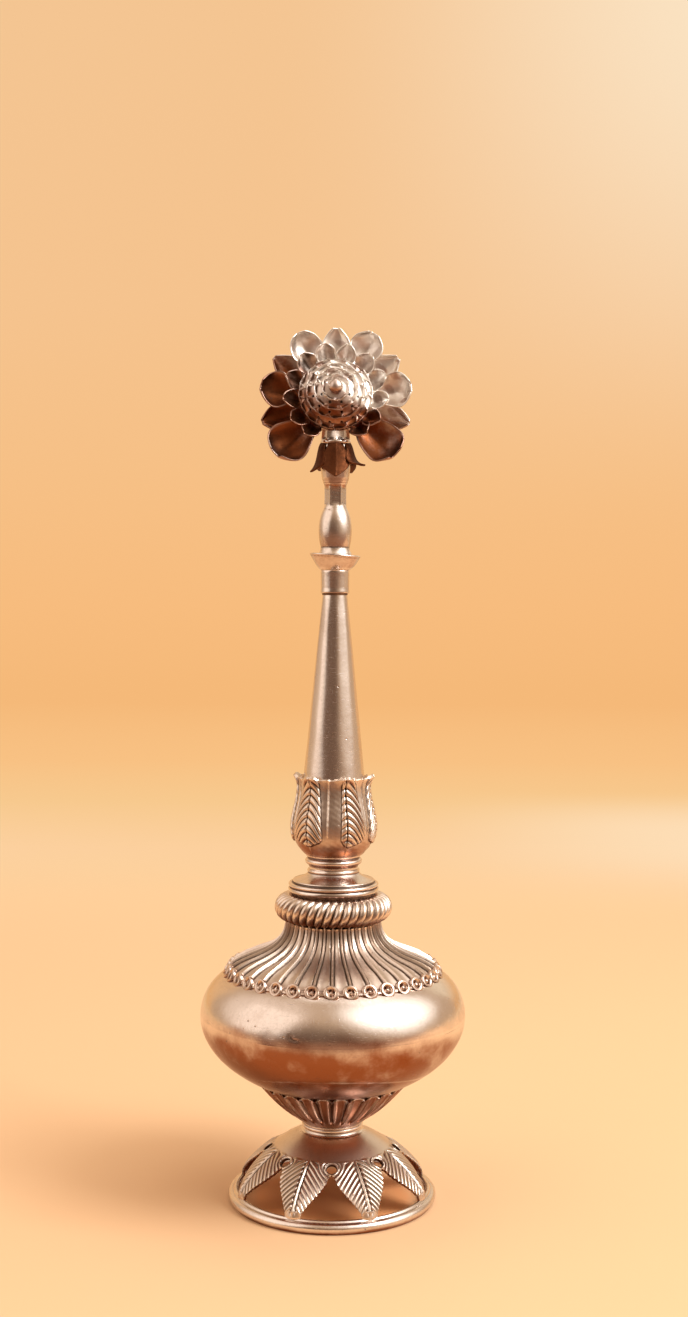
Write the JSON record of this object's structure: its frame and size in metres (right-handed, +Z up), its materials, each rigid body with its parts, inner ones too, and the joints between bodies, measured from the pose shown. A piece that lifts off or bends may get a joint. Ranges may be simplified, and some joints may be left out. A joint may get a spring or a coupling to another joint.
{
  "type": "rosewater sprinkler",
  "caption": "Silver rosewater sprinkler: squat flask on a pierced leaf foot, fluted shoulder, tall tapering neck that unscrews, and a pierced flower head that unscrews from the neck.",
  "frame": {"origin": "middle of the base ring's underside, on the table", "axes": "+Z up the axis of the neck, -Y the way the flower faces, +X to the right seen from the front"},
  "size_m": [0.0848, 0.0848, 0.28],
  "materials": {
    "silver_plain": "old silver, softly polished, with fine scratches and tarnish in the recesses",
    "silver_chased": "chased old silver, bright on the ridges and dark in the grooves",
    "silver_flower": "cast and chased old silver, bright petal edges and dark hollows",
    "silver_thread": "turned silver, duller where the screws bear",
    "leather_seal": "oiled leather, pressed flat"
  },
  "bodies": {
    "vessel": {"base_ring": "silver_plain", "foot_dome": "silver_chased", "foot_collar": "silver_plain", "under_calyx": "silver_chased", "bowl_lower": "silver_plain", "bowl_upper": "silver_plain", "shoulder_mantle": "silver_chased", "rope_ring": "silver_chased", "mouth_socket": "silver_thread"},
    "neck_seal": {"neck_washer": "leather_seal"},
    "neck": {"neck_spigot": "silver_thread", "neck_flange": "silver_plain", "bead_ring": "silver_plain", "leaf_cup": "silver_chased", "neck_cone": "silver_plain", "cone_spigot": "silver_thread"},
    "head_seal": {"head_washer": "leather_seal"},
    "head": {"head_ferrule": "silver_thread", "drip_saucer": "silver_plain", "baluster_stem": "silver_plain", "sepal_collar": "silver_plain", "sepals": "silver_flower", "rose_chamber": "silver_flower", "rose_plate": "silver_flower", "flower_knob": "silver_flower", "rosette_rings": "silver_flower", "spoon_petals": "silver_flower", "cupped_petals": "silver_flower", "pointed_petals": "silver_flower"}
  },
  "joints": [
    {"name": "neck_rise", "type": "slide", "parent": "vessel", "child": "neck_seal", "axis": [0, 0, 1], "range_m": [0, 0.0076]},
    {"name": "neck_turn", "type": "hinge", "parent": "neck_seal", "child": "neck", "pos_m": [0, 0, 0.0988], "axis": [0, 0, 1], "range_deg": [0, 1440]},
    {"name": "head_rise", "type": "slide", "parent": "neck", "child": "head_seal", "axis": [0, 0, 1], "range_m": [0, 0.0056]},
    {"name": "head_turn", "type": "hinge", "parent": "head_seal", "child": "head", "pos_m": [0, 0, 0.194], "axis": [0, 0, 1], "range_deg": [0, 1440]}
  ],
  "couplings": [
    {"joint": "neck_rise", "follows": "neck_turn", "m_per_rad": 0.0003022},
    {"joint": "head_rise", "follows": "head_turn", "m_per_rad": 0.0002227}
  ]
}
